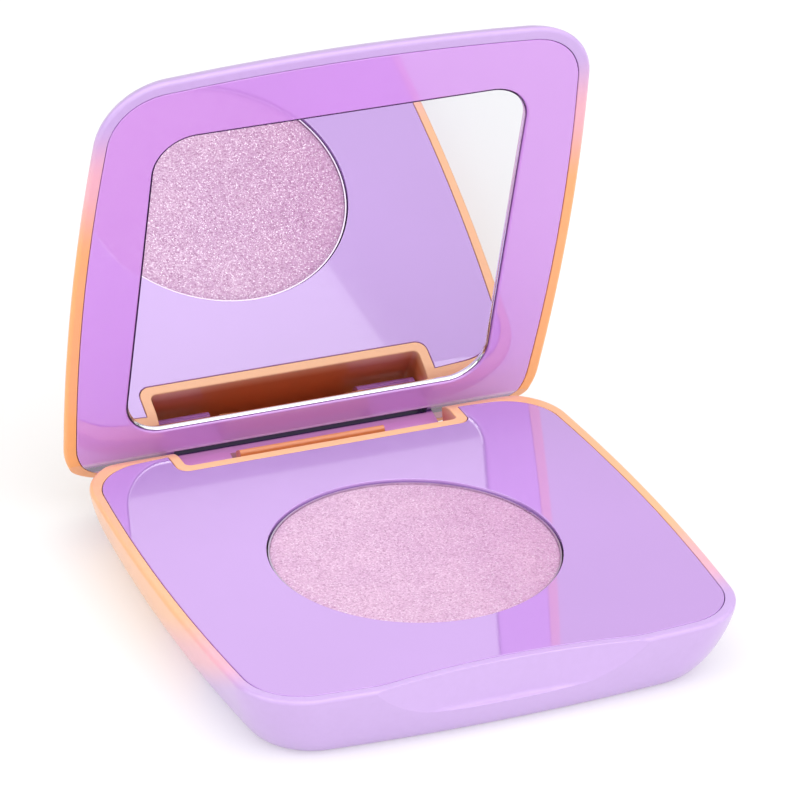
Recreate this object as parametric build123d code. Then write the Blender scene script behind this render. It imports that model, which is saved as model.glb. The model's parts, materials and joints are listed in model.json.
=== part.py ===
"""Hinged powder compact: a base with a faceplate and a pan of pressed powder, and a domed mirror lid.

Millimetres, +Z up, +X to the right, the hinge at the back (+Y). The origin is the centre of the underside.
The lid is modelled closed and then turned open about the hinge.
"""
import os
from math import cos, pi, sin

from build123d import *

# Outline shared by all the square pieces
SIDE_BULGE = 1.65           # how far each side bows out at its middle
BEYOND = 45.0               # past every face of the compact, for cutting tools

# Base shell
BASE_HALF = 35.05           # half width across the rim
BASE_HEIGHT = 10.0
BASE_TUCK = 4.4             # how far the wall leans in on its way down
BASE_ROUNDNESS = 1.4        # 1 is a straight slope, 2 a quarter ellipse
BASE_CORNER = 9.0
CORNER_TIGHTENING = 0.3     # of how far an outline leans in
BASE_WALL = 1.5
BASE_FLOOR = 1.2
RIM_ROUND = 0.45            # outer edge of the rim
SEAT_ROUND = 0.12           # edges on both sides of a seam
LEDGE_WIDTH = 1.3           # shelf that carries a plate inside a shell
LEDGE_THICKNESS = 1.2
SCOOP_FACE = 32.8           # distance of the scoop from the middle, at the rim
SCOOP_RADIUS = 100.0
SCOOP_LEAN = 1.5            # degrees that the scoop leans outwards going down
SCOOP_BOTTOM = 4.6          # height of the lip under the scoop
SCOOP_HOLLOW = 0.6          # rounding between the scoop and its lip
SCOOP_RIM = 1.15            # thickness of the rim at the scoop
SCOOP_ROUND = 0.15
SCOOP_BLEND = 12.0          # smooths the plate's outline at the ends of the scoop
SCOOP_BOX_HALF = 20.0       # the scoop's edges lie between these and in front of this line
SCOOP_BOX_BACK = -30.0
SCOOP_BOX_BOTTOM = 2.0

# Faceplate and powder
PLATE_HALF = 33.6
PLATE_CORNER = 7.6
PLATE_THICKNESS = 1.4
PLATE_REAR_TRIM = 0.6
SEAM = 0.08                 # gap all round a plate that drops into a shell
FIT_GAP = 0.05              # gap round a pin head, a magnet and the mirror's slope
PAN_Y = -2.6
OPENING_RADIUS = 19.15
OPENING_WALL = 1.2
OPENING_ROUND = 0.12
PAN_RADIUS = 18.95
PAN_WALL = 0.2
PAN_TOP = 9.6
PAN_BOTTOM = 5.6
PAN_ROUND = 0.8             # bottom edge of the pan, outside
POWDER_TOP = 9.55
POWDER_EDGE = 0.5
GLUE_THICKNESS = 0.2
GLUE_RADIUS = 15.0
PAN_RING_WALL = 2.0         # ring on the floor under the pan

# Hinge
HINGE_Y = 31.4
HINGE_Z = 4.5
OPEN_ANGLE = 75.4           # how far the lid stands open from closed
PIN_RADIUS = 0.75
PIN_HEAD_RADIUS = 1.0
PIN_HEAD = 0.6
PIN_INNER_X = 11.2
RUNNING_CLEARANCE = 0.05
BOSS_RADIUS = 2.0           # boss on the pocket wall that grips a pin
BOSS_LENGTH = 3.0
REAR_ROUND = 5.5            # back of the base is round about the hinge, so that the lid clears it
POCKET_HALF = 19.5
POCKET_FRONT = 29.1
POCKET_WALL = 1.4
POCKET_CORNER = 0.8
POCKET_ROUND = 0.2
BRIDGE_HALF = 10.45         # wall that closes the back of the pocket between the lugs
BRIDGE_WALL = 1.78
BRIDGE_RADIUS = 4.5         # its top is round about the hinge
BRIDGE_ROUND = 0.5
LUG_INNER = 10.8
LUG_OUTER = 19.2
LUG_FRONT = 1.3             # lug faces, measured from the hinge axis
LUG_BACK = 1.5
LUG_RADIUS = 1.45
WEB_BOTTOM = 9.3            # height of the web between the lugs, lid closed
WEB_TOP = 2.6               # height of the web inside the lid
WEB_CLEARANCE = 0.3

# Lid
CLOSED_GAP = 0.3
LID_HALF = 35.4
LID_DEPTH = 8.2
LID_TUCK = 10.6
LID_ROUNDNESS = 1.5
LID_CORNER = 9.6
LID_WALL = 1.5
FRAME_HALF = 33.65
FRAME_CORNER = 7.7
FRAME_THICKNESS = 1.4
CREASE_Y = 28.6             # the back of the lid slopes away from here
REAR_SLOPE = 21.0           # degrees
REAR_BORDER = 2.4           # thickness of the frame behind the crease
REAR_BORDER_FRONT = 27.1
GROOVE_HALF = 18.4          # groove in front of the hinge web, wider inside than at its mouth
GROOVE_FRONT = 29.2
GROOVE_LIP = 0.25
GROOVE_DEPTH = 1.7
GROOVE_UNDERCUT = 0.9

# Mirror
MIRROR_HALF_X = 26.1
MIRROR_HALF_Y = 25.1
MIRROR_Y = -0.2
MIRROR_CORNER = 5.6
MIRROR_RECESS = 0.6
MIRROR_BEVEL = 0.4
MIRROR_GAP = 0.2            # all round the mirror, inside the frame
MIRROR_THICKNESS = 1.2
MIRROR_OPENING_ROUND = 0.3
TAPE_THICKNESS = 0.4
TAPE_MARGIN = 2.0
TRAY_WALL = 1.2
TRAY_FLOOR = 0.9

# Closing magnets
MAGNET_X = 26.8
MAGNET_Y = -26.8
MAGNET_RADIUS = 2.0
MAGNET_THICKNESS = 1.5
MAGNET_SKIN = 0.8
MAGNET_CUP_WALL = 0.8

# Label
LABEL_RADIUS = 11.0
LABEL_Y = 15.0
LABEL_RECESS = 0.3
LABEL_THICKNESS = 0.15
LABEL_MARGIN = 0.3

LEDGE_TOP = BASE_HEIGHT - PLATE_THICKNESS
LID_Z = BASE_HEIGHT + CLOSED_GAP
HINGE_AXIS = Axis((0, HINGE_Y, HINGE_Z), (-1, 0, 0))
POCKET_SIDE = POCKET_HALF + POCKET_WALL


def pillow(half, corner):
    """Face of a square whose sides bow outwards, with rounded corners."""
    reach = half - SIDE_BULGE
    corners = [(reach, -reach), (reach, reach), (-reach, reach), (-reach, -reach)]
    middles = [(half, 0), (0, half), (-half, 0), (0, -half)]
    sides = []
    for index in range(4):
        sides.append(ThreePointArc(corners[index], middles[index], corners[(index + 1) % 4]))
    face = make_face(sides)
    return fillet(face.vertices(), corner)


def pillow_prism(half, corner, bottom, top):
    """Straight block of the pillow outline between two heights."""
    return Pos(0, 0, bottom) * extrude(pillow(half, corner), top - bottom)


def rounded_prism(half_x, half_y, corner, bottom, top):
    """Straight block of a rounded rectangle between two heights."""
    return Pos(0, 0, bottom) * extrude(RectangleRounded(2 * half_x, 2 * half_y, corner), top - bottom)


def block(low, high):
    """Box between two opposite corners."""
    size = [high[i] - low[i] for i in range(3)]
    middle = [(high[i] + low[i]) / 2 for i in range(3)]
    return Pos(*middle) * Box(*size)


def slab(bottom, top, front=-BEYOND, back=BEYOND):
    """Block right across the compact between two heights."""
    return block((-BEYOND, front, bottom), (BEYOND, back, top))


def disc(radius, bottom, top, x=0.0, y=0.0):
    """Upright cylinder between two heights."""
    return Pos(x, y, (bottom + top) / 2) * Cylinder(radius, top - bottom)


def cross_bar(radius, low_x, high_x):
    """Cylinder about the hinge axis."""
    place = Pos((low_x + high_x) / 2, HINGE_Y, HINGE_Z) * Rot(0, 90, 0)
    return place * Cylinder(radius, high_x - low_x)


def dish(half, corner, depth, tuck, roundness, rim_round=0.0, steps=8):
    """Solid that starts as a pillow outline at z = 0 and rounds in on its way up to z = depth."""
    sections = []
    for step in range(steps + 1):
        turn = pi / 2 * step / steps
        inset = tuck * (1 - cos(turn) ** (2 / roundness))
        height = depth * sin(turn) ** (2 / roundness)
        sections.append(Pos(0, 0, height) * pillow(half - inset, corner - CORNER_TIGHTENING * inset))
    form = loft(sections)
    if rim_round:
        form = fillet(form.edges().group_by(Axis.Z)[0], rim_round)
    return form


def edges_within(solid, low, high):
    """Edges that lie wholly inside a box."""
    found = ShapeList()
    for edge in solid.edges():
        box = edge.bounding_box()
        above = box.min.X > low[0] and box.min.Y > low[1] and box.min.Z > low[2]
        if above and box.max.X < high[0] and box.max.Y < high[1] and box.max.Z < high[2]:
            found.append(edge)
    return found


def edges_at(solid, height):
    """Edges that lie flat at a height."""
    reach = 2 * BEYOND
    return edges_within(solid, (-reach, -reach, height - 0.001), (reach, reach, height + 0.001))


def both_sides(solid):
    """A solid and its mirror image on the other side of the middle plane."""
    return solid + mirror(solid, about=Plane.YZ)


def thumb_scoop():
    """Large cylinder in front of the base, with a slight lean, that ends above the lip."""
    tool = disc(SCOOP_RADIUS, SCOOP_BOTTOM - BASE_HEIGHT, 2 * BASE_HEIGHT, y=-SCOOP_RADIUS)
    tool = fillet(tool.edges().sort_by(Axis.Z)[0], SCOOP_HOLLOW)
    return Pos(0, -SCOOP_FACE, BASE_HEIGHT) * Rot(-SCOOP_LEAN, 0, 0) * tool


def straight_scoop(face_distance):
    """The same cylinder without its lean, for the faceplate edge behind the scoop."""
    return Pos(0, -face_distance - SCOOP_RADIUS, 0) * Cylinder(SCOOP_RADIUS, 6 * BASE_HEIGHT)


def plate_prism(grow, bottom, top):
    """Faceplate outline grown all round: pillow, drawn in at the back, hollowed at the thumb scoop."""
    outline = pillow_prism(PLATE_HALF + grow, PLATE_CORNER + grow, bottom, top)
    outline &= Pos(0, -PLATE_REAR_TRIM, 0) * outline
    outline -= straight_scoop(SCOOP_FACE - SCOOP_RIM + grow)
    scoop_ends = edges_within(outline, (-SCOOP_BOX_HALF, -PLATE_HALF, bottom - 1),
                              (SCOOP_BOX_HALF, SCOOP_BOX_BACK, top + 1))
    return fillet(scoop_ends.filter_by(Axis.Z), SCOOP_BLEND)


def rear_round_waste():
    """What is cut off the back of the base so that its top edge is round about the hinge."""
    back = slab(HINGE_Z, BASE_HEIGHT + 1, front=HINGE_Y)
    return back - cross_bar(REAR_ROUND, -BEYOND - 1, BEYOND + 1)


def pocket_space(grow, bottom, top):
    """Hinge pocket, open to the back."""
    half = POCKET_HALF + grow
    space = block((-half, POCKET_FRONT - grow, bottom), (half, BEYOND, top))
    upright = space.edges().filter_by(Axis.Z).sort_by(Axis.Y)[:2]
    return fillet(upright, POCKET_CORNER + (POCKET_CORNER if grow else 0))


def base_outer():
    """Outer form of the base, with its thumb scoop."""
    form = dish(BASE_HALF, BASE_CORNER, BASE_HEIGHT, BASE_TUCK, BASE_ROUNDNESS, RIM_ROUND)
    form = Pos(0, 0, BASE_HEIGHT) * Rot(180, 0, 0) * form - thumb_scoop()
    scoop_edges = edges_within(form, (-SCOOP_BOX_HALF, -BASE_HALF, SCOOP_BOX_BOTTOM),
                               (SCOOP_BOX_HALF, SCOOP_BOX_BACK, BASE_HEIGHT + 1))
    return fillet(scoop_edges, SCOOP_ROUND)


def ledge_ring(inner_half, corner, bottom, top):
    """Shelf round the inside of a shell, open in the middle."""
    return slab(bottom, top) - pillow_prism(inner_half, corner, bottom, top)


def pan_ring():
    """Round wall on the floor that carries the glued pan."""
    bottom = BASE_FLOOR / 2
    top = PAN_BOTTOM - GLUE_THICKNESS
    ring = disc(GLUE_RADIUS + PAN_RING_WALL / 2, bottom, top, y=PAN_Y)
    return ring - disc(GLUE_RADIUS - PAN_RING_WALL / 2, bottom, top, y=PAN_Y)


def base_hollow(wall):
    """Space inside a base wall of some thickness, down to the floor."""
    space = dish(BASE_HALF - wall, BASE_CORNER - wall, BASE_HEIGHT - BASE_FLOOR, BASE_TUCK, BASE_ROUNDNESS)
    return Pos(0, 0, BASE_HEIGHT) * Rot(180, 0, 0) * space


def hinge_bridge(outer):
    """Wall that closes the back of the pocket between the lugs, with its top round about the hinge."""
    wall = outer - base_hollow(BRIDGE_WALL)
    wall &= block((-BRIDGE_HALF, POCKET_FRONT, BASE_FLOOR / 2), (BRIDGE_HALF, BEYOND, BASE_HEIGHT))
    wall -= slab(HINGE_Z, BASE_HEIGHT + 1) - cross_bar(BRIDGE_RADIUS, -BEYOND, BEYOND)
    return fillet(wall.edges().sort_by(Axis.Z)[-1], BRIDGE_ROUND)


def base_shell():
    outer = base_outer()
    cavity = base_hollow(BASE_WALL) - slab(LEDGE_TOP, BASE_HEIGHT + 1)
    cavity -= ledge_ring(PLATE_HALF - LEDGE_WIDTH, PLATE_CORNER - LEDGE_WIDTH, LEDGE_TOP - LEDGE_THICKNESS,
                         LEDGE_TOP)
    cavity -= straight_scoop(SCOOP_FACE - SCOOP_RIM - LEDGE_WIDTH)
    cavity -= pocket_space(POCKET_WALL, 0, BASE_HEIGHT)
    cavity -= both_sides(cross_bar(BOSS_RADIUS, POCKET_HALF, POCKET_SIDE + BOSS_LENGTH))
    plate_space = plate_prism(SEAM, LEDGE_TOP, BASE_HEIGHT + 1)
    plate_space -= pocket_space(POCKET_WALL, 0, BASE_HEIGHT + 2)
    shell = outer - cavity - plate_space
    reach = PLATE_HALF + 2 * SEAM
    rim_edges = edges_within(shell, (-reach, -reach, PAN_TOP), (reach, reach, BASE_HEIGHT + 1))
    seat_edges = rim_edges.filter_by(GeomType.LINE) + rim_edges.filter_by(GeomType.CIRCLE)
    shell = fillet(seat_edges, SEAT_ROUND) - rear_round_waste()
    shell -= pocket_space(0, BASE_FLOOR, BASE_HEIGHT + 1)
    pocket_rim = edges_within(shell, (-POCKET_HALF - 0.1, POCKET_FRONT - 0.1, HINGE_Z),
                              (POCKET_HALF + 0.1, BASE_HALF, BASE_HEIGHT + 0.1))
    shell = fillet(pocket_rim, POCKET_ROUND)
    shell += pan_ring() + hinge_bridge(outer)
    boss_end = POCKET_SIDE + BOSS_LENGTH
    shell -= both_sides(cross_bar(PIN_RADIUS, POCKET_HALF - 1, boss_end))
    shell -= both_sides(cross_bar(PIN_HEAD_RADIUS + FIT_GAP, boss_end, boss_end + 2 * PIN_HEAD))
    return shell - disc(LABEL_RADIUS + LABEL_MARGIN, -1, LABEL_RECESS, y=LABEL_Y)


def magnet_cup(height, depth_direction):
    """Ring that holds a magnet against the inside of a plate."""
    ring = Cylinder(MAGNET_RADIUS + MAGNET_CUP_WALL, MAGNET_THICKNESS)
    middle = height + depth_direction * MAGNET_THICKNESS / 2
    return both_sides(Pos(MAGNET_X, MAGNET_Y, middle) * ring)


def magnet_space(height, depth_direction):
    """Pair of holes that a magnet pair drops into."""
    depth = 2 * MAGNET_THICKNESS
    hole = Cylinder(MAGNET_RADIUS + FIT_GAP, depth)
    return both_sides(Pos(MAGNET_X, MAGNET_Y, height + depth_direction * depth / 2) * hole)


def magnet(side, height, depth_direction):
    middle = height + depth_direction * MAGNET_THICKNESS / 2
    return Pos(side * MAGNET_X, MAGNET_Y, middle) * Cylinder(MAGNET_RADIUS, MAGNET_THICKNESS)


def base_faceplate():
    plate = plate_prism(0, LEDGE_TOP, BASE_HEIGHT)
    plate -= pocket_space(POCKET_WALL + SEAM, 0, BASE_HEIGHT + 1)
    plate = fillet(edges_at(plate, BASE_HEIGHT), SEAT_ROUND)
    plate += disc(OPENING_RADIUS + OPENING_WALL, PAN_BOTTOM, LEDGE_TOP, y=PAN_Y)
    plate -= disc(OPENING_RADIUS, 0, BASE_HEIGHT + 1, y=PAN_Y)
    opening_edge = edges_at(plate, BASE_HEIGHT)
    plate = fillet([edge for edge in opening_edge if edge.geom_type == GeomType.CIRCLE], OPENING_ROUND)
    skin_height = BASE_HEIGHT - MAGNET_SKIN
    plate += magnet_cup(skin_height, -1)
    plate -= magnet_space(skin_height, -1)
    return plate - rear_round_waste()


def powder_pan():
    pan = disc(PAN_RADIUS, PAN_BOTTOM, PAN_TOP, y=PAN_Y)
    pan = fillet(pan.edges().sort_by(Axis.Z)[0], PAN_ROUND)
    hollow = disc(PAN_RADIUS - PAN_WALL, PAN_BOTTOM + PAN_WALL, BASE_HEIGHT, y=PAN_Y)
    hollow = fillet(hollow.edges().sort_by(Axis.Z)[0], PAN_ROUND - PAN_WALL)
    return pan - hollow


def pressed_powder():
    cake = disc(PAN_RADIUS - PAN_WALL, PAN_BOTTOM + PAN_WALL, POWDER_TOP, y=PAN_Y)
    cake = fillet(cake.edges().sort_by(Axis.Z)[0], PAN_ROUND - PAN_WALL)
    return chamfer(cake.edges().sort_by(Axis.Z)[-1], POWDER_EDGE / 2, POWDER_EDGE)


def pan_adhesive():
    return disc(GLUE_RADIUS, PAN_BOTTOM - GLUE_THICKNESS, PAN_BOTTOM, y=PAN_Y)


def bottom_label():
    return disc(LABEL_RADIUS, LABEL_RECESS - LABEL_THICKNESS, LABEL_RECESS, y=LABEL_Y)


def hinge_pin(side):
    """Headed pin pushed from inside the base through the boss and the pocket wall into the lug."""
    end = POCKET_SIDE + BOSS_LENGTH
    pin = cross_bar(PIN_RADIUS, PIN_INNER_X, end) + cross_bar(PIN_HEAD_RADIUS, end, end + PIN_HEAD)
    return pin if side > 0 else mirror(pin, about=Plane.YZ)


def rear_slope_waste():
    """Wedge under the back of the closed lid, from the crease backwards."""
    wedge = slab(-2 * BASE_HEIGHT, 0, front=0)
    return Pos(0, CREASE_Y, LID_Z) * Rot(REAR_SLOPE, 0, 0) * wedge


def frame_plate(grow, bottom):
    """Frame outline, thicker behind the crease."""
    outline = pillow_prism(FRAME_HALF + grow, FRAME_CORNER + grow, bottom, LID_Z + REAR_BORDER + grow)
    return outline - slab(LID_Z + FRAME_THICKNESS, LID_Z + LID_DEPTH, back=REAR_BORDER_FRONT - grow)


def lid_shell():
    outer = Pos(0, 0, LID_Z) * dish(LID_HALF, LID_CORNER, LID_DEPTH, LID_TUCK, LID_ROUNDNESS, RIM_ROUND)
    cavity = Pos(0, 0, LID_Z) * dish(LID_HALF - LID_WALL, LID_CORNER - LID_WALL, LID_DEPTH - LID_WALL,
                                     LID_TUCK, LID_ROUNDNESS)
    ledge_bottom = LID_Z + FRAME_THICKNESS
    cavity -= slab(0, ledge_bottom)
    cavity -= ledge_ring(FRAME_HALF - LEDGE_WIDTH, FRAME_CORNER - LEDGE_WIDTH, ledge_bottom,
                         ledge_bottom + LEDGE_THICKNESS)
    shell = outer - cavity - frame_plate(SEAM, LID_Z - 1)
    rim = shell.faces().filter_by(Axis.Z).sort_by(Axis.Z)[0]
    shell = fillet(rim.inner_wires()[0].edges(), SEAT_ROUND)
    web_half = LUG_OUTER + WEB_CLEARANCE
    web_space = block((-web_half, REAR_BORDER_FRONT - WEB_TOP, LID_Z - 1),
                      (web_half, HINGE_Y + LUG_BACK + SEAM, LID_Z + WEB_TOP + SEAM))
    return shell - web_space - rear_slope_waste()


def mirror_outline(grow, bottom, top):
    half_x = MIRROR_HALF_X + grow
    half_y = MIRROR_HALF_Y + grow
    return Pos(0, MIRROR_Y, 0) * rounded_prism(half_x, half_y, MIRROR_CORNER + grow, bottom, top)


def hinge_lugs():
    """Web across the back of the frame, with a lug at each end that runs down to the pins."""
    front = HINGE_Y - LUG_FRONT
    back = HINGE_Y + LUG_BACK
    web = block((-LUG_OUTER, front, WEB_BOTTOM), (LUG_OUTER, back, LID_Z + WEB_TOP))
    lug = block((LUG_INNER, front, HINGE_Z), (LUG_OUTER, back, LID_Z))
    lug += cross_bar(LUG_RADIUS, LUG_INNER, LUG_OUTER)
    bore = cross_bar(PIN_RADIUS + RUNNING_CLEARANCE, LUG_INNER - 1, LUG_OUTER + 1)
    return web + both_sides(lug - bore)


def lid_inner_frame():
    tray_top = LID_Z + MIRROR_RECESS + MIRROR_THICKNESS + TAPE_THICKNESS
    frame = frame_plate(0, LID_Z)
    frame = fillet(edges_at(frame, LID_Z), SEAT_ROUND)
    frame += mirror_outline(TRAY_WALL, LID_Z + FRAME_THICKNESS / 2, tray_top + TRAY_FLOOR)
    frame -= mirror_outline(0, LID_Z - 1, tray_top)
    opening_edge = edges_within(frame, (-BEYOND, -MIRROR_HALF_Y - 1, LID_Z - 0.001),
                                (BEYOND, MIRROR_HALF_Y + 1, LID_Z + 0.001))
    frame = fillet(opening_edge, MIRROR_OPENING_ROUND)
    skin_height = LID_Z + MAGNET_SKIN
    frame += magnet_cup(skin_height, 1)
    frame -= magnet_space(skin_height, 1)
    lug_back = HINGE_Y + LUG_BACK
    frame += block((-LUG_OUTER, REAR_BORDER_FRONT, LID_Z + FRAME_THICKNESS / 2),
                   (LUG_OUTER, lug_back, LID_Z + WEB_TOP))
    frame -= rear_slope_waste()
    web_front = HINGE_Y - LUG_FRONT
    mouth = block((-GROOVE_HALF, GROOVE_FRONT, HINGE_Z), (GROOVE_HALF, web_front, LID_Z + GROOVE_DEPTH))
    inside = block((-GROOVE_HALF, GROOVE_FRONT, LID_Z + GROOVE_LIP),
                   (GROOVE_HALF, web_front + GROOVE_UNDERCUT, LID_Z + GROOVE_DEPTH))
    return frame + hinge_lugs() - mouth - inside


def mirror_glass():
    """Mirror plate whose edge stands up as a narrow slope to the frame."""
    front = LID_Z + MIRROR_RECESS
    back = front - MIRROR_BEVEL
    glass = mirror_outline(-MIRROR_GAP, back, front + MIRROR_THICKNESS)
    half_x = MIRROR_HALF_X - MIRROR_GAP - FIT_GAP
    half_y = MIRROR_HALF_Y - MIRROR_GAP - FIT_GAP
    outer = RectangleRounded(2 * half_x, 2 * half_y, MIRROR_CORNER)
    inner = RectangleRounded(2 * (half_x - MIRROR_BEVEL), 2 * (half_y - MIRROR_BEVEL),
                             MIRROR_CORNER - MIRROR_BEVEL)
    return glass - loft([Pos(0, MIRROR_Y, front) * inner, Pos(0, MIRROR_Y, back) * outer])


def mirror_adhesive():
    bottom = LID_Z + MIRROR_RECESS + MIRROR_THICKNESS
    return mirror_outline(-TAPE_MARGIN, bottom, bottom + TAPE_THICKNESS)


def opened(solid):
    """Turns a piece of the closed lid to the open rest position."""
    return solid.rotate(HINGE_AXIS, OPEN_ANGLE)


base_skin = BASE_HEIGHT - MAGNET_SKIN
lid_skin = LID_Z + MAGNET_SKIN
nodes = {
    "base_shell": base_shell(),
    "base_faceplate": base_faceplate(),
    "powder_pan": powder_pan(),
    "pressed_powder": pressed_powder(),
    "pan_adhesive": pan_adhesive(),
    "base_magnet_left": magnet(-1, base_skin, -1),
    "base_magnet_right": magnet(1, base_skin, -1),
    "hinge_pin_left": hinge_pin(-1),
    "hinge_pin_right": hinge_pin(1),
    "bottom_label": bottom_label(),
    "lid_shell": opened(lid_shell()),
    "lid_inner_frame": opened(lid_inner_frame()),
    "mirror_glass": opened(mirror_glass()),
    "mirror_adhesive": opened(mirror_adhesive()),
    "lid_magnet_left": opened(magnet(-1, lid_skin, 1)),
    "lid_magnet_right": opened(magnet(1, lid_skin, 1)),
}

os.makedirs("parts", exist_ok=True)
for name, solid in nodes.items():
    export_step(solid, f"parts/{name}.step")
    print(name, len(solid.solids()), round(solid.volume, 2))
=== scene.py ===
"""Looks of the powder compact: materials, finely shaped pieces, floor, light and camera.

Lengths are metres in the frame of the CAD model: +X right, +Y towards the hinge, +Z up.
"""
import json
import math

import bmesh
import bpy
from mathutils import Matrix, Vector
from mathutils import noise as mathnoise


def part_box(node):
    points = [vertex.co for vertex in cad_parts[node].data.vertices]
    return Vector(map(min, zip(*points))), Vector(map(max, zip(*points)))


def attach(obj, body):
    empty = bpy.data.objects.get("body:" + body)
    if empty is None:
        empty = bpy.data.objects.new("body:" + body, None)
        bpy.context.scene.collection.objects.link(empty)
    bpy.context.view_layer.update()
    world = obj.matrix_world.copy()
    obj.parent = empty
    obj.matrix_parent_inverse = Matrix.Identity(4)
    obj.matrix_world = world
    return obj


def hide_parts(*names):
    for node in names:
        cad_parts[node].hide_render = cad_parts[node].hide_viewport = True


MM = 0.001

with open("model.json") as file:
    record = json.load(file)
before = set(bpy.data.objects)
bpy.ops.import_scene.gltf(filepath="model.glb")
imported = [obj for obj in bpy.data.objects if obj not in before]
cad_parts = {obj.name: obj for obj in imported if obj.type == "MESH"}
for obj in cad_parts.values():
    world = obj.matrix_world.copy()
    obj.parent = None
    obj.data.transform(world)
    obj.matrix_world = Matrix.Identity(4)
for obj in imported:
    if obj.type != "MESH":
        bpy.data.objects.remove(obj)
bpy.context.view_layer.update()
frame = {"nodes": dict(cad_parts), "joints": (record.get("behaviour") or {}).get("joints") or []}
hinge = frame["joints"][0]
HINGE_Y, HINGE_Z = hinge["pos_m"][1], hinge["pos_m"][2]
OPEN_ANGLE = -math.radians(hinge["range_deg"][0])

# Camera
CAMERA_AZIMUTH = -23.21
CAMERA_ELEVATION = 27.22
CAMERA_ROLL = 1.24
CAMERA_DISTANCE = 0.707
CAMERA_TARGET = Vector((0.0143, 0.03673, 0.0100))
CAMERA_LENS = 234.0
CAMERA_SENSOR = 36.0
CAMERA_CLIP = (0.01, 20.0)

# Floor, world and lights
FLOOR_HALF = 4.0
FLOOR_GREYS = ((0.61, 0.61, 0.615, 1), (0.63, 0.63, 0.63, 1))
FLOOR_GLOW = 0.32
WHITE = (1.0, 1.0, 1.0, 1)
WORLD_STRENGTH = 0.30
OBJECT_MIDDLE = (0, 0, 0.03)
FRONT_RIGHT_FLOOR = (0.22, -0.72, 0.0)
# name, azimuth, elevation, distance, width, height, watts, aim
LIGHTS = (
    ("top_box", -20, 78, 0.9, 1.1, 1.1, 5.0, OBJECT_MIDDLE),
    ("left_box", -85, 35, 0.9, 0.7, 0.7, 3.1, OBJECT_MIDDLE),
    ("right_box", 80, 30, 0.9, 0.7, 0.7, 1.6, OBJECT_MIDDLE),
    ("front_box", 12, 24, 1.7, 3.4, 1.5, 14.0, OBJECT_MIDDLE),
    ("back_box", 157, 26, 1.5, 2.4, 1.2, 3.4, OBJECT_MIDDLE),
    ("floor_wash", 0, 89, 1.0, 1.4, 0.9, 5.2, FRONT_RIGHT_FLOOR),
)

# Plastic colours, with painted shade and a painted reflection for the hinge
BASE_ORANGE = (0.93, 0.48, 0.25, 1)
LID_ORANGE = (0.95, 0.42, 0.15, 1)
# painted shade, multiplied into the inside of the hinge pocket
POCKET_PAINTED_SHADE = (0.72, 0.42, 0.26, 1)
SHELL_PINK = (0.86, 0.43, 0.50, 1)
SHELL_LILAC = (0.57, 0.39, 0.73, 1)
PLATE_PURPLE = (0.50, 0.27, 0.69, 1)
FRAME_PURPLE = (0.59, 0.265, 0.75, 1)
# painted reflection of the orange pocket on the lid frame's hinge web
WEB_PAINTED_REFLECTION = (0.62, 0.24, 0.42, 1)
# painted shadow for the groove before the hinge web
GROOVE_PAINTED_SHADOW = (0.07, 0.01, 0.17, 1)

# Powder cake
POWDER_CLEARANCE = 0.02 * MM
POWDER_CROWN = 0.08 * MM
POWDER_EDGE = 1.1 * MM          # width of the sloping edge
POWDER_EDGE_DROP = 0.22 * MM
POWDER_BOW = 0.05 * MM
POWDER_RINGS = 150
POWDER_STEPS = 560

# Relief of the powder's surface: heights, and scales in waves per metre
GRAIN_HEIGHT = 0.010 * MM
GRAIN_SCALE = 3000.0
GRAIN_FRACTAL = (0.9, 2.1, 2)   # falloff, step in scale, number of scales
SWIRL_HEIGHT = 0.008 * MM
SWIRL_SCALE = 260.0
CRUMBLE_HEIGHT = 0.03 * MM
CRUMBLE_SCALE = 900.0

# Powder colours
POWDER_DARK = (0.40, 0.18, 0.32, 1)
POWDER_MIDDLE = (0.68, 0.42, 0.60, 1)
POWDER_LIGHT = (0.93, 0.72, 0.86, 1)
POWDER_CLOUD = (0.93, 0.89, 0.94, 1)
# painted shade for the powder's right side, and how far it reaches
POWDER_PAINTED_SHADE = (0.90, 0.80, 0.88, 1)
PEARL = (1.0, 0.88, 0.97, 1)
PAINTED_SHADE_REACH = 19 * MM

# Mirror, in the closed position of the lid
MIRROR_MIDDLE_Y = -0.2 * MM
MIRROR_HALF_X = 25.9 * MM
MIRROR_HALF_Y = 24.9 * MM
MIRROR_CORNER = 5.4 * MM
MIRROR_EDGE_Z = 10.5 * MM
MIRROR_FACE_Z = 10.9 * MM
MIRROR_BACK_Z = 12.1 * MM
MIRROR_SLOPES = (0.16 * MM, 0.10 * MM, 0.16 * MM, 0.42 * MM)     # right, front, left, rear
MIRROR_LAYERS = 6
MIRROR_CORNER_STEPS = 28

# The fade of the shells, by distance in front of the hinge
FADE_START = 38.0 * MM
FADE_MIDDLE = 50.5 * MM
FADE_END = 60.5 * MM
FADE_LENGTH = 70.0 * MM
RIM_ABOVE_HINGE = 5.6 * MM
FADE_WOBBLE = 0.015             # share of the fade's length
BASE_HEIGHT_PULL = 1.9
LID_HEIGHT_PULL = -0.6
MOTTLE = (0.975, 0.97, 0.975, 1)

# Bands of the hinge pocket and of the lid frame, measured from the hinge with the lid closed; they place
# the painted shade in the pocket, the painted reflection on the web and the painted shadow in the groove
POCKET_BAND = (-2.35 * MM, 6.0 * MM)
POCKET_DEPTH_BAND = (3.6 * MM, 5.2 * MM)
WEB_BAND = (-1.3 * MM, 4.0 * MM)
GROOVE_BAND = (-2.25 * MM, -0.3 * MM)
GROOVE_DEPTH_BAND = (5.85 * MM, 6.3 * MM)


# ---------------------------------------------------------------- helpers
def direction(azimuth, elevation):
    """Unit vector away from the object, by angles in degrees; azimuth 0 is the front and 90 is +X."""
    a, e = math.radians(azimuth), math.radians(elevation)
    return Vector((math.sin(a) * math.cos(e), -math.cos(a) * math.cos(e), math.sin(e)))


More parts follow.
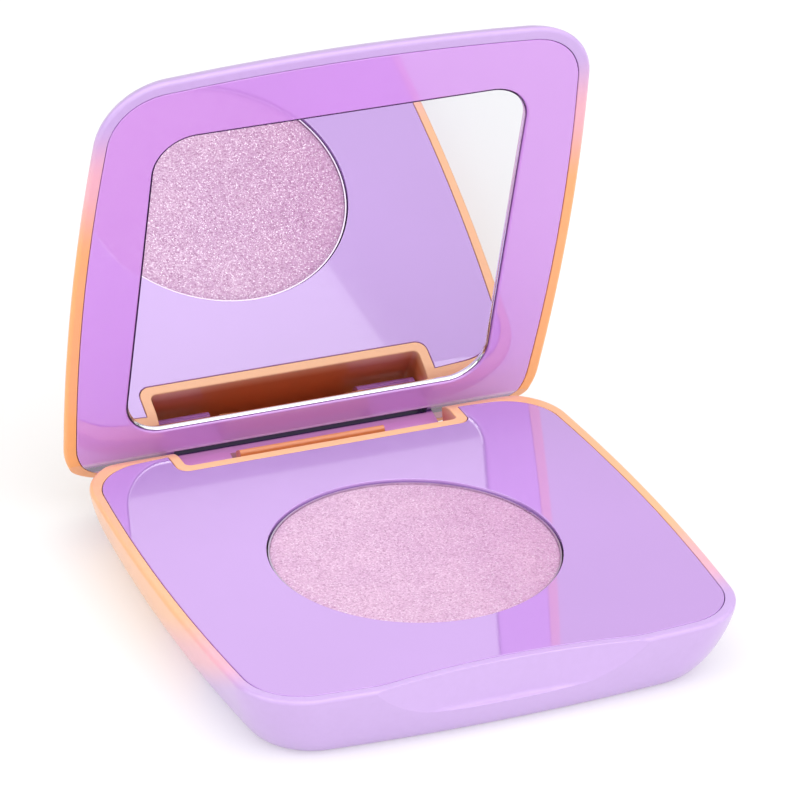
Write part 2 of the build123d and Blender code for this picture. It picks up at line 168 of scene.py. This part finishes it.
def new_material(name):
    material = bpy.data.materials.new(name)
    material.use_nodes = True
    tree = material.node_tree
    shader = tree.nodes["Principled BSDF"]
    return material, tree, shader


def add(tree, kind, **settings):
    node = tree.nodes.new(kind)
    for key, value in settings.items():
        setattr(node, key, value)
    return node


def noise(tree, vector, scale, detail=4.0, roughness=0.55):
    """Noise value; the scale is in waves per metre."""
    node = add(tree, "ShaderNodeTexNoise")
    node.inputs["Scale"].default_value = scale
    node.inputs["Detail"].default_value = detail
    node.inputs["Roughness"].default_value = roughness
    tree.links.new(vector, node.inputs["Vector"])
    return node.outputs["Fac"]


def spread(tree, value, low, high, from_low=0.3, from_high=0.7):
    """Maps a noise value to a range."""
    node = add(tree, "ShaderNodeMapRange")
    node.inputs["From Min"].default_value = from_low
    node.inputs["From Max"].default_value = from_high
    node.inputs["To Min"].default_value = low
    node.inputs["To Max"].default_value = high
    tree.links.new(value, node.inputs["Value"])
    return node.outputs["Result"]


def object_coordinates(tree):
    return add(tree, "ShaderNodeTexCoord").outputs["Object"]


def bump(tree, height, strength, distance, before=None):
    """Normal bent by a height, on top of the one before."""
    node = add(tree, "ShaderNodeBump")
    node.inputs["Strength"].default_value = strength
    node.inputs["Distance"].default_value = distance
    tree.links.new(height, node.inputs["Height"])
    if before is not None:
        tree.links.new(before, node.inputs["Normal"])
    return node.outputs["Normal"]


def ramp(tree, value, stops):
    """Colour by value, eased between stops of (place, colour)."""
    node = add(tree, "ShaderNodeValToRGB")
    node.color_ramp.interpolation = "EASE"
    elements = node.color_ramp.elements
    while len(elements) < len(stops):
        elements.new(0.5)
    for element, (place, colour) in zip(elements, stops):
        element.position = place
        element.color = colour
    tree.links.new(value, node.inputs["Fac"])
    return node.outputs["Color"]


def product(tree, first, second):
    node = add(tree, "ShaderNodeMath", operation="MULTIPLY")
    tree.links.new(first, node.inputs[0])
    tree.links.new(second, node.inputs[1])
    return node.outputs[0]


def mix_colour(tree, factor, first, second, blend="MIX"):
    """Mixes two colours; the factor and the colours are sockets or plain values."""
    node = add(tree, "ShaderNodeMix", data_type="RGBA", blend_type=blend)
    factor_socket, first_socket, second_socket = (node.inputs[index] for index in (0, 6, 7))
    for socket, value in ((factor_socket, factor), (first_socket, first), (second_socket, second)):
        if isinstance(value, (int, float, tuple)):
            socket.default_value = value
        else:
            tree.links.new(value, socket)
    return node.outputs[2]


# ---------------------------------------------------------------- materials
def closed_place(tree, place, closed_angle):
    """Coordinates about the hinge, turned back to the closed position by an angle."""
    shift = add(tree, "ShaderNodeVectorMath", operation="SUBTRACT")
    shift.inputs[1].default_value = (0.0, HINGE_Y, HINGE_Z)
    tree.links.new(place, shift.inputs[0])
    turned = add(tree, "ShaderNodeVectorRotate", rotation_type="X_AXIS")
    turned.inputs["Angle"].default_value = closed_angle
    tree.links.new(shift.outputs[0], turned.inputs["Vector"])
    split = add(tree, "ShaderNodeSeparateXYZ")
    tree.links.new(turned.outputs[0], split.inputs[0])
    return split


def band(tree, value, low, high, edge=0.05 * MM):
    """1 between two values, 0 outside."""
    rise = spread(tree, value, 0.0, 1.0, low - edge, low + edge)
    fall = spread(tree, value, 1.0, 0.0, high - edge, high + edge)
    return product(tree, rise, fall)


def darker(colour, share):
    return tuple(share * c for c in colour[:3]) + (1,)


def shell_plastic(name, orange, closed_angle, height_pull, pocket=False):
    """Satin plastic that fades from orange at the hinge through pink to lilac at the front edge.

    closed_angle turns the piece's coordinates back to the closed position, so the fade follows the shell.
    height_pull moves the fade along the shell with height. pocket paints shade into the inside of the
    hinge pocket.
    """
    material, tree, shader = new_material(name)
    place = object_coordinates(tree)
    split = closed_place(tree, place, closed_angle)
    drop = add(tree, "ShaderNodeMath", operation="MULTIPLY_ADD")
    drop.inputs[1].default_value = height_pull
    tree.links.new(split.outputs["Z"], drop.inputs[0])
    tree.links.new(split.outputs["Y"], drop.inputs[2])
    rim_pull = height_pull * RIM_ABOVE_HINGE
    away = spread(tree, drop.outputs[0], 0.0, 1.0, rim_pull, rim_pull - FADE_LENGTH)
    wobble = spread(tree, noise(tree, place, scale=22.0, detail=2.0), -FADE_WOBBLE, FADE_WOBBLE)
    total = add(tree, "ShaderNodeMath", operation="ADD")
    tree.links.new(away, total.inputs[0])
    tree.links.new(wobble, total.inputs[1])
    stops = [(0.0, orange), (FADE_START / FADE_LENGTH, orange),
             (FADE_MIDDLE / FADE_LENGTH, SHELL_PINK), (FADE_END / FADE_LENGTH, SHELL_LILAC)]
    colour = ramp(tree, total.outputs[0], stops)
    if pocket:
        # Painted shade: the colour turns darker and browner inside the hinge pocket, behind its front
        # edge and below the rim.
        behind_edge = band(tree, split.outputs["Y"], *POCKET_BAND)
        below_rim = spread(tree, split.outputs["Z"], 1.0, 0.0, *POCKET_DEPTH_BAND)
        colour = mix_colour(tree, product(tree, behind_edge, below_rim), colour, POCKET_PAINTED_SHADE, "MULTIPLY")
    mottle = ramp(tree, noise(tree, place, scale=900.0, detail=2.0), [(0.2, MOTTLE), (0.8, WHITE)])
    tree.links.new(mix_colour(tree, 1.0, colour, mottle, "MULTIPLY"), shader.inputs["Base Color"])
    roughness = spread(tree, noise(tree, place, scale=260.0, detail=2.0), 0.29, 0.33, 0.2, 0.8)
    tree.links.new(roughness, shader.inputs["Roughness"])
    skin = noise(tree, place, scale=1500.0, detail=2.0)
    tree.links.new(bump(tree, skin, strength=0.05, distance=0.01 * MM), shader.inputs["Normal"])
    shader.inputs["IOR"].default_value = 1.5
    shader.inputs["Coat Weight"].default_value = 0.35
    shader.inputs["Coat Roughness"].default_value = 0.12
    return material


def gloss_plastic(name, colour, hinge_web=False):
    """Polished purple plastic under a clear hard coat.

    hinge_web paints a mauve reflection of the orange pocket onto the web and a dark violet shadow into
    the groove before it.
    """
    material, tree, shader = new_material(name)
    place = object_coordinates(tree)
    tint = spread(tree, noise(tree, place, scale=30.0, detail=3.0), 0.0, 1.0)
    body = mix_colour(tree, tint, colour, darker(colour, 0.96))
    if hinge_web:
        split = closed_place(tree, place, OPEN_ANGLE)
        web = band(tree, split.outputs["Y"], *WEB_BAND)
        groove = band(tree, split.outputs["Y"], *GROOVE_BAND)
        depth = spread(tree, split.outputs["Z"], 0.0, 1.0, *GROOVE_DEPTH_BAND)
        # Painted reflection: the web turns mauve, standing in for orange light from the pocket.
        body = mix_colour(tree, web, body, WEB_PAINTED_REFLECTION)
        # Painted shadow: the groove deep in the frame turns near black violet.
        body = mix_colour(tree, product(tree, groove, depth), body, GROOVE_PAINTED_SHADOW)
    tree.links.new(body, shader.inputs["Base Color"])
    smudges = noise(tree, place, scale=420.0, detail=6.0)
    tree.links.new(spread(tree, smudges, 0.03, 0.07), shader.inputs["Roughness"])
    waves = noise(tree, place, scale=60.0, detail=1.0)
    tree.links.new(bump(tree, waves, strength=0.02, distance=0.02 * MM), shader.inputs["Normal"])
    shader.inputs["IOR"].default_value = 1.75
    shader.inputs["Coat Weight"].default_value = 1.0
    shader.inputs["Coat IOR"].default_value = 1.65
    shader.inputs["Coat Roughness"].default_value = 0.015
    return material


def powder_material():
    """Pressed powder: a fine grain with pearl flakes, and painted shade darkening its right side."""
    material, tree, shader = new_material("highlighting_powder")
    place = object_coordinates(tree)
    grain = noise(tree, place, scale=3600.0, roughness=0.7)
    cloud = noise(tree, place, scale=140.0)
    flakes = add(tree, "ShaderNodeTexVoronoi", feature="F1")
    flakes.inputs["Scale"].default_value = 7500.0
    tree.links.new(place, flakes.inputs["Vector"])
    fine = ramp(tree, grain, [(0.30, POWDER_DARK), (0.50, POWDER_MIDDLE), (0.72, POWDER_LIGHT)])
    soft = ramp(tree, cloud, [(0.3, POWDER_CLOUD), (0.7, WHITE)])
    body = mix_colour(tree, 1.0, fine, soft, "MULTIPLY")
    # Painted shade: the powder grows darker and pinker towards its right side.
    across = add(tree, "ShaderNodeSeparateXYZ")
    tree.links.new(place, across.inputs[0])
    to_right = spread(tree, across.outputs["X"], 0.0, 1.0, -PAINTED_SHADE_REACH, PAINTED_SHADE_REACH)
    shade = ramp(tree, to_right, [(0.35, WHITE), (1.0, POWDER_PAINTED_SHADE)])
    body = mix_colour(tree, 1.0, body, shade, "MULTIPLY")
    hue = add(tree, "ShaderNodeSeparateColor")
    tree.links.new(flakes.outputs["Color"], hue.inputs[0])
    sparkle = spread(tree, hue.outputs[0], 0.0, 0.65, 0.86, 0.96)
    tree.links.new(mix_colour(tree, sparkle, body, PEARL), shader.inputs["Base Color"])
    tree.links.new(spread(tree, sparkle, 0.55, 0.22, 0.0, 0.85), shader.inputs["Roughness"])
    tree.links.new(spread(tree, sparkle, 0.10, 0.75, 0.0, 0.85), shader.inputs["Metallic"])
    tilt = bump(tree, hue.outputs[1], strength=0.30, distance=0.03 * MM)
    relief = bump(tree, grain, strength=0.65, distance=0.06 * MM, before=tilt)
    tree.links.new(relief, shader.inputs["Normal"])
    shader.inputs["Sheen Weight"].default_value = 0.25
    shader.inputs["Sheen Roughness"].default_value = 0.4
    return material


def metal(name, colour, low, high, scale):
    """Bare metal whose roughness wanders between two values."""
    material, tree, shader = new_material(name)
    place = object_coordinates(tree)
    shader.inputs["Base Color"].default_value = colour
    shader.inputs["Metallic"].default_value = 1.0
    tree.links.new(spread(tree, noise(tree, place, scale), low, high), shader.inputs["Roughness"])
    return material


def plain(name, colour, roughness, scale):
    """Matt material with a little variation, for the pieces that hardly show."""
    material, tree, shader = new_material(name)
    place = object_coordinates(tree)
    tone = spread(tree, noise(tree, place, scale), 0, 1)
    tree.links.new(mix_colour(tree, tone, colour, darker(colour, 0.9)), shader.inputs["Base Color"])
    shader.inputs["Roughness"].default_value = roughness
    fibres = noise(tree, place, scale * 4)
    tree.links.new(bump(tree, fibres, strength=0.2, distance=0.03 * MM), shader.inputs["Normal"])
    return material


def dress(node, material):
    """Gives a CAD node its finished material."""
    mesh = frame["nodes"][node].data
    mesh.materials.clear()
    mesh.materials.append(material)


base_plastic = shell_plastic("base_shell_plastic", BASE_ORANGE, 0.0, BASE_HEIGHT_PULL, pocket=True)
lid_plastic = shell_plastic("lid_shell_plastic", LID_ORANGE, OPEN_ANGLE, LID_HEIGHT_PULL)
silver = metal("mirror_silver", (0.80, 0.81, 0.83, 1), 0.0, 0.004, 60.0)
steel = metal("pin_steel", (0.62, 0.62, 0.64, 1), 0.18, 0.32, 900.0)
nickel = metal("magnet_nickel", (0.70, 0.69, 0.66, 1), 0.10, 0.22, 500.0)
aluminium = metal("pan_aluminium", (0.66, 0.56, 0.68, 1), 0.26, 0.40, 700.0)
label = plain("blank_label", (0.90, 0.88, 0.93, 1), 0.45, 200.0)
foam = plain("foam_tape", (0.85, 0.85, 0.86, 1), 0.9, 900.0)
glue = plain("soft_glue", (0.86, 0.84, 0.78, 1), 0.5, 300.0)

dress("base_shell", base_plastic)
dress("lid_shell", lid_plastic)
dress("base_faceplate", gloss_plastic("faceplate_purple", PLATE_PURPLE))
dress("lid_inner_frame", gloss_plastic("lid_frame_purple", FRAME_PURPLE, hinge_web=True))
dress("powder_pan", aluminium)
dress("pan_adhesive", glue)
dress("bottom_label", label)
dress("mirror_adhesive", foam)
for side in ("left", "right"):
    dress(f"hinge_pin_{side}", steel)
    dress(f"base_magnet_{side}", nickel)
    dress(f"lid_magnet_{side}", nickel)


# ---------------------------------------------------------------- pieces
def link_piece(name, mesh, material):
    mesh.materials.append(material)
    piece = bpy.data.objects.new(name, mesh)
    bpy.context.scene.collection.objects.link(piece)
    return piece


def powder_drop(x, y, radius):
    """Drop of the powder surface below its top at a place: edge slope, pressing swirl and fine grain."""
    distance = math.hypot(x, y)
    outward = max(0.0, (distance - (radius - POWDER_EDGE)) / POWDER_EDGE)
    drop = POWDER_EDGE_DROP * outward * outward
    drop += POWDER_BOW * (distance / radius) ** 2
    place = Vector((x, y, 0.0))
    grain = mathnoise.fractal(place * GRAIN_SCALE, *GRAIN_FRACTAL)
    swirl = mathnoise.noise(place * SWIRL_SCALE)
    crumble = mathnoise.noise(place * CRUMBLE_SCALE) * outward
    return drop - GRAIN_HEIGHT * grain - SWIRL_HEIGHT * swirl - CRUMBLE_HEIGHT * crumble


def make_powder():
    """Pressed powder cake with a fine grain, slightly crowned and softened at the edge."""
    low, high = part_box("pressed_powder")
    radius = (high[0] - low[0]) / 2 - POWDER_CLEARANCE
    centre_y = (low[1] + high[1]) / 2
    top = high[2] + POWDER_CROWN
    mesh = bpy.data.meshes.new("powder_cake")
    form = bmesh.new()
    middle = form.verts.new((0.0, centre_y, top - powder_drop(0.0, 0.0, radius)))
    ring_before = None
    for ring in range(1, POWDER_RINGS + 1):
        r = radius * ring / POWDER_RINGS
        verts = []
        for step in range(POWDER_STEPS):
            turn = 2 * math.pi * step / POWDER_STEPS
            x, y = r * math.cos(turn), r * math.sin(turn)
            verts.append(form.verts.new((x, centre_y + y, top - powder_drop(x, y, radius))))
        for step in range(POWDER_STEPS):
            after = (step + 1) % POWDER_STEPS
            if ring_before is None:
                form.faces.new((middle, verts[step], verts[after]))
            else:
                form.faces.new((ring_before[step], verts[step], verts[after], ring_before[after]))
        ring_before = verts
    floor_ring = [form.verts.new((v.co.x, v.co.y, low[2])) for v in ring_before]
    for step in range(POWDER_STEPS):
        after = (step + 1) % POWDER_STEPS
        form.faces.new((ring_before[step], floor_ring[step], floor_ring[after], ring_before[after]))
    form.faces.new(list(reversed(floor_ring)))
    for face in form.faces:
        face.smooth = True
    form.to_mesh(mesh)
    form.free()
    piece = link_piece("powder_cake", mesh, powder_material())
    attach(piece, "base")
    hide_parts("pressed_powder")


def rounded_outline(insets, corner, height):
    """Points of a rounded rectangle in closed-lid coordinates, drawn in by (right, front, left, rear)."""
    right, front, left, rear = insets
    high = (MIRROR_HALF_X - right, MIRROR_MIDDLE_Y + MIRROR_HALF_Y - rear)
    low = (-MIRROR_HALF_X + left, MIRROR_MIDDLE_Y - MIRROR_HALF_Y + front)
    middles = [(high[0] - corner, high[1] - corner), (low[0] + corner, high[1] - corner),
               (low[0] + corner, low[1] + corner), (high[0] - corner, low[1] + corner)]
    points = []
    for quarter, (x, y) in enumerate(middles):
        for step in range(MIRROR_CORNER_STEPS + 1):
            turn = math.pi / 2 * (quarter + step / MIRROR_CORNER_STEPS)
            points.append(Vector((x + corner * math.cos(turn), y + corner * math.sin(turn), height)))
    return points


def make_mirror():
    """Mirror plate with a hollow polished slope round its edge, wide along the hinge side."""
    turn = Matrix.Rotation(-OPEN_ANGLE, 4, "X")
    middle = Vector((0.0, HINGE_Y, HINGE_Z))
    rings = [rounded_outline((0, 0, 0, 0), MIRROR_CORNER, MIRROR_BACK_Z)]
    for layer in range(MIRROR_LAYERS + 1):
        quarter = math.pi / 2 * layer / MIRROR_LAYERS
        inset = [slope * (1 - math.cos(quarter)) for slope in MIRROR_SLOPES]
        height = MIRROR_EDGE_Z + (MIRROR_FACE_Z - MIRROR_EDGE_Z) * math.sin(quarter)
        rings.append(rounded_outline(inset, MIRROR_CORNER - max(inset) / 2, height))
    mesh = bpy.data.meshes.new("mirror_plate")
    form = bmesh.new()
    rows = [[form.verts.new(middle + turn @ (point - middle)) for point in ring] for ring in rings]
    count = len(rows[0])
    for before, after in zip(rows, rows[1:]):
        for index in range(count):
            follow = (index + 1) % count
            face = form.faces.new((before[index], before[follow], after[follow], after[index]))
            face.smooth = True
    form.faces.new(rows[-1])
    form.faces.new(rows[0])
    for row in (rows[0], rows[1], rows[-1]):
        for index in range(count):
            form.edges.get((row[index], row[(index + 1) % count])).smooth = False
    bmesh.ops.recalc_face_normals(form, faces=form.faces)
    form.to_mesh(mesh)
    form.free()
    piece = link_piece("mirror_plate", mesh, silver)
    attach(piece, "lid")
    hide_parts("mirror_glass")


make_powder()
make_mirror()


# ---------------------------------------------------------------- stage, light and camera
def make_floor():
    material, tree, shader = new_material("pale_floor")
    place = object_coordinates(tree)
    tone = spread(tree, noise(tree, place, scale=3.0), 0, 1)
    tree.links.new(mix_colour(tree, tone, *FLOOR_GREYS), shader.inputs["Base Color"])
    shader.inputs["Emission Color"].default_value = WHITE
    shader.inputs["Emission Strength"].default_value = FLOOR_GLOW
    shader.inputs["Roughness"].default_value = 0.75
    mesh = bpy.data.meshes.new("floor")
    half = FLOOR_HALF
    corners = [(-half, -half, 0), (half, -half, 0), (half, half, 0), (-half, half, 0)]
    mesh.from_pydata(corners, [], [(0, 1, 2, 3)])
    mesh.materials.append(material)
    floor = bpy.data.objects.new("floor", mesh)
    bpy.context.scene.collection.objects.link(floor)


def soft_box(name, azimuth, elevation, distance, width, height, power, aim):
    """Area light that faces its aim from a direction."""
    data = bpy.data.lights.new(name, "AREA")
    data.shape = "RECTANGLE"
    data.size = width
    data.size_y = height
    data.energy = power
    light = bpy.data.objects.new(name, data)
    away = direction(azimuth, elevation)
    light.location = Vector(aim) + away * distance
    light.rotation_mode = "QUATERNION"
    light.rotation_quaternion = (-away).to_track_quat("-Z", "Y")
    bpy.context.scene.collection.objects.link(light)


def make_world():
    world = bpy.data.worlds.new("studio")
    world.use_nodes = True
    background = world.node_tree.nodes["Background"]
    background.inputs["Color"].default_value = WHITE
    background.inputs["Strength"].default_value = WORLD_STRENGTH
    bpy.context.scene.world = world


def make_camera():
    data = bpy.data.cameras.new("camera")
    data.lens = CAMERA_LENS
    data.sensor_width = CAMERA_SENSOR
    data.clip_start, data.clip_end = CAMERA_CLIP
    camera = bpy.data.objects.new("camera", data)
    back = direction(CAMERA_AZIMUTH, CAMERA_ELEVATION)
    right = (-back).cross(Vector((0, 0, 1))).normalized()
    up = right.cross(-back)
    roll = math.radians(CAMERA_ROLL)
    turned_right = right * math.cos(roll) + up * math.sin(roll)
    turned_up = up * math.cos(roll) - right * math.sin(roll)
    place = Matrix((turned_right, turned_up, back)).transposed().to_4x4()
    place.translation = CAMERA_TARGET + back * CAMERA_DISTANCE
    camera.matrix_world = place
    bpy.context.scene.collection.objects.link(camera)
    bpy.context.scene.camera = camera


make_floor()
make_world()
for settings in LIGHTS:
    soft_box(*settings)
make_camera()
bpy.context.scene.view_settings.view_transform = "Standard"
